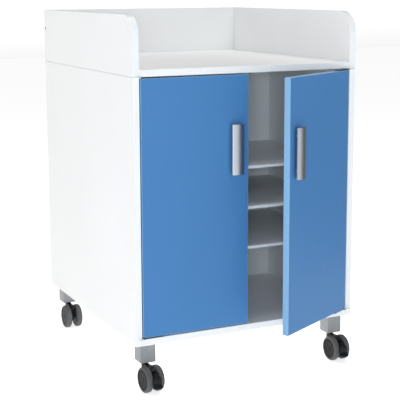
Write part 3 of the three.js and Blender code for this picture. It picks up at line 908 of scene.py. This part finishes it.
class Caster:
    """Where one caster stands: its swivel axis, its axle and its sizes."""

    def __init__(self, corner):
        self.corner = corner
        self.stem = Vector(JOINTS["caster_" + corner + "_swivel"]["pos_m"])
        spin = JOINTS["wheel_" + corner + "_a_spin"]
        across = Vector(spin["axis"])
        axle = Vector(spin["pos_m"])
        turn = Matrix.Rotation(math.atan2(across.y, across.x), 4, "Z")
        self.place = Matrix.Translation((self.stem.x, self.stem.y, 0)) @ turn
        self.radius = axle.z
        self.axle = (-(axle - self.stem).xy.length, axle.z)
        self.at_axle = self.place @ Matrix.Translation((0, *self.axle))
        # The front right caster stands square, so its wheel's box gives true widths.
        low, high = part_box("caster_wheel_front_right_b")
        self.inner = low.x - JOINTS["caster_front_right_swivel"]["pos_m"][0]
        self.width = high.x - low.x

    def round_axle(self, radius, degrees):
        """The (forward, up) point at that radius and angle about the axle."""
        angle = math.radians(degrees)
        y = self.axle[0] + radius * math.cos(angle)
        return (y, self.axle[1] + radius * math.sin(angle))


def wheel_profile(radius, width, rim):
    """Section from the bore along the inner face, round the tread, to the cover's seat."""
    profile = [(BORE_RADIUS, HUB_RECESS), (HUB_RADIUS, HUB_RECESS), (HUB_RADIUS, WEB_RECESS)]
    profile += [(radius - TYRE_WALL, WEB_RECESS), (radius - TYRE_WALL + WEB_RECESS, 0)]
    profile += arc((radius - SHOULDER, SHOULDER), SHOULDER, -90, 0, 8)
    wall = radius - rim - BEAD_WIDTH
    side = SHOULDER - SHOULDER_STEP
    for out, along in arc((0, 0), 1.0, 0, 90, 10):
        profile.append((radius - wall + wall * out, width - SHOULDER + side * along))
    profile += [(rim + out * MM, width - below * MM) for out, below in BEAD_MM]
    seat = width - COVER_DEPTH
    profile += [(rim, seat), (0, seat), (0, seat - MM), (BORE_RADIUS, seat - MM)]
    return profile + [(BORE_RADIUS, HUB_RECESS)]


def cover_profile(width, rim):
    """The pressed-in cover: a shallow dome with one groove and a small middle cap."""
    edge = rim - COVER_GAP
    face = width - COVER_SINK
    seat = width - COVER_DEPTH
    profile = [(0, seat), (edge, seat)]
    profile += [(edge - within * MM, face - below * MM) for within, below in COVER_GROOVE_MM]
    return profile + [(radius * MM, face - below * MM) for radius, below in COVER_MIDDLE_MM]


def make_wheel(caster, hand, looks):
    """One wheel of the pair: its tyre and its cover."""
    sign = -1 if hand == "a" else 1
    node = "caster_wheel_" + caster.corner + "_" + hand
    place = caster.at_axle @ Matrix.Translation((sign * caster.inner, 0, 0)) @ facing(sign)
    rim = COVER_SHARE * caster.radius
    tyre = bmesh.new()
    lathe(tyre, wheel_profile(caster.radius, caster.width, rim), place, 96)
    bmesh.ops.remove_doubles(tyre, verts=tyre.verts, dist=WELD)
    stand_for(node, "_tyre", tyre, looks["tread"])
    cover = bmesh.new()
    lathe(cover, cover_profile(caster.width, rim), place, 72)
    piece(node + "_cover", cover, BODY_OF[node], looks["disc"])


def cowl_outline(caster):
    """Side view of the cowl, from its lower back over the top to its front edge."""
    radius = caster.radius - COWL_UNDER_TREAD
    height = caster.axle[1]
    points = [caster.round_axle(COWL_INNER, -10)]
    points += [(NECK_RADIUS + back * MM, height + up * MM) for back, up in COWL_BACK_MM]
    top = height + radius - COWL_CORNER
    points += [(NECK_RADIUS, top)]
    points += arc((NECK_RADIUS - COWL_CORNER, top), COWL_CORNER, 15, 90, 4)
    points += arc(caster.axle, radius, 90, COWL_FRONT_DEG, 8)
    return points + arc(caster.axle, COWL_INNER, COWL_FRONT_DEG, -6, 12)


def web_profile():
    """The disc between the wheels that carries the axle, with chamfered edges."""
    flat = WEB_RADIUS - WEB_CHAMFER
    side = WEB_HALF - WEB_CHAMFER
    profile = [(0, -WEB_HALF), (flat, -WEB_HALF), (WEB_RADIUS, -side)]
    return profile + [(WEB_RADIUS, side), (flat, WEB_HALF), (0, WEB_HALF)]


def make_hood(caster, looks):
    """One moulding: cowl, web, neck and the stub axles of the two wheels."""
    half = caster.inner - COWL_SIDE_GAP
    bm = bmesh.new()
    prism(bm, cowl_outline(caster), -half, half, caster.place)
    soften(bm, COWL_ROUNDING)
    bm = with_rod(bm, web_profile(), caster.at_axle, 48)
    top = caster.stem.z - NECK_TOP_GAP
    neck = [(radius * MM, top - below * MM) for radius, below in NECK_MM] + [(0, top)]
    bm = with_rod(bm, neck, caster.place @ Matrix.Rotation(-QUARTER, 4, "Y"), 48)
    end = caster.inner + caster.width - AXLE_END_COVER
    stub = [(0, 0), (AXLE_RADIUS, 0), (AXLE_RADIUS, end), (0, end)]
    for _, sign in SIDES:
        bm = with_rod(bm, stub, caster.at_axle @ facing(sign), 32)
    stand_for("caster_hood_" + caster.corner, "_moulding", bm, looks["black"])


def lip_outline(caster, reach):
    """Side view of the foot lip: it sweeps forward and down to a rounded tip."""
    y, z = caster.axle
    root = y - LIP_ROOT
    nose = y - reach + LIP_NOSE
    top = z - LIP_TOP_DROP
    outline = []
    for step in range(9):
        done = step / 8
        left = 1 - done
        along = left * left * root + 2 * left * done * (root - LIP_BEND) + done * done * nose
        outline.append((along, top + left * left * (LIP_TOP_DROP - LIP_ROOT_DROP)))
    outline += arc((nose, top - LIP_NOSE), LIP_NOSE, 90, 262, 8)
    return outline + [(root, z - LIP_UNDER_DROP)]


def paddle_outline(caster, x):
    """Section of the curved thumb plate at x: it stands clear of the treads."""
    spread = math.sqrt(max(0.0, 1 - (x / LIP_HALF) ** 2))
    reach = PADDLE_SPREAD_DEG * spread + PADDLE_TIP_DEG
    top = PADDLE_MIDDLE_DEG - reach
    low = PADDLE_MIDDLE_DEG + reach
    inner = caster.radius + PADDLE_CLEARANCE
    outer = PEDAL_FACE + PADDLE_CROWN * spread
    return arc(caster.axle, inner, top, low, 10) + arc(caster.axle, outer, low, top, 10)


def with_lip(bm, caster):
    """Adds the foot lip and the paddle, both oval as seen from the front."""
    across = []
    outlines = []
    for step in range(LIP_SLICES + 1):
        angle = math.pi * step / LIP_SLICES
        across.append(-LIP_HALF * math.cos(angle))
        reach = LIP_REACH - LIP_CORNER * (1 - math.sin(angle))
        outlines.append(lip_outline(caster, reach))
    lip = bmesh.new()
    loft(lip, zip(across, outlines), caster.place)
    soften(lip, LIP_ROUNDING, 2, 3 * MM)
    paddle = bmesh.new()
    loft(paddle, [(x, paddle_outline(caster, x)) for x in across], caster.place)
    return combined(combined(bm, lip, "UNION"), paddle, "UNION")


def with_ribs(bm, caster):
    """Adds the three grip ribs, which widen from the lip's tip."""
    for step in range(3):
        y = caster.axle[0] - LIP_REACH + RIB_FROM_TIP + RIB_PITCH * step
        z = caster.axle[1] - RIB_DROP + RIB_CLIMB * step * step
        half = RIB_HALF + RIB_GROWTH * step
        bm = with_prism(bm, arc((y, z), RIB_RADIUS, 0, 330, 11), -half, half, caster.place)
    return bm


def with_fork(bm, caster):
    """Adds the two arms, with their eyes on the axle, and bores both eyes."""
    tip = PEDAL_FACE - PEDAL_THICK + FORK_OVERLAP
    outline = [caster.round_axle(FORK_ROOT, FORK_ROOT_DEG[0])]
    outline += [caster.round_axle(tip, degrees) for degrees in FORK_TIP_DEG]
    outline += [caster.round_axle(FORK_ROOT, FORK_ROOT_DEG[1])]
    outline += arc(caster.axle, EYE_RADIUS, *EYE_DEG, 16)
    for low, high in ((-FORK_FAR, -FORK_NEAR), (FORK_NEAR, FORK_FAR)):
        bm = with_prism(bm, outline, low, high, caster.place)
    bore = [(0, -BORE_HALF), (BORE_RADIUS, -BORE_HALF), (BORE_RADIUS, BORE_HALF), (0, BORE_HALF)]
    return with_rod(bm, bore, caster.at_axle, 32, "DIFFERENCE")


def make_pedal(caster, looks):
    """The brake pedal of a front caster."""
    inner = PEDAL_FACE - PEDAL_THICK
    face = arc(caster.axle, inner, PEDAL_TOP_DEG, PEDAL_LOW_DEG, 12)
    face += arc(caster.axle, PEDAL_FACE, PEDAL_LOW_DEG, PEDAL_TOP_DEG, 14)
    bm = bmesh.new()
    prism(bm, face, -PEDAL_HALF, PEDAL_HALF, caster.place)
    soften(bm, PEDAL_ROUNDING)
    bm = with_fork(with_ribs(with_lip(bm, caster), caster), caster)
    stand_for("brake_pedal_" + caster.corner, "_lever", bm, looks["black"])


def make_block(corner, looks):
    """The square grey block that holds a caster's stem."""
    node = "caster_block_" + corner
    bm = copy_of(node)
    soften(bm, BLOCK_ROUNDING, 4, SHORTEST_BLOCK_EDGE)
    stand_for(node, "_cap", bm, looks["grey"])


def make_casters(looks):
    """Four casters; the steel stems inside their blocks stay the CAD's own solids."""
    for corner in CORNERS:
        caster = Caster(corner)
        make_block(corner, looks)
        make_hood(caster, looks)
        make_wheel(caster, "a", looks)
        make_wheel(caster, "b", looks)
        if corner.startswith("front"):
            make_pedal(caster, looks)
        stem = NODES["caster_stem_" + corner]
        stem.data.materials.clear()
        stem.data.materials.append(looks["zinc"])


# ---- the whole scene ------------------------------------------------------------------


def main():
    """Builds the studio and every visual piece."""
    bpy.context.scene.view_settings.view_transform = "Standard"
    make_camera()
    make_floor()
    make_world()
    make_lights()
    make_dark_card()
    looks = make_materials()
    make_boards(looks)
    for side, _ in SIDES:
        make_handle(side, looks)
        make_handle_screws(side, looks)
    make_pivots(looks)
    make_gallery_screws(looks)
    make_shelf_pins(looks)
    make_hole_caps(looks)
    make_casters(looks)


main()
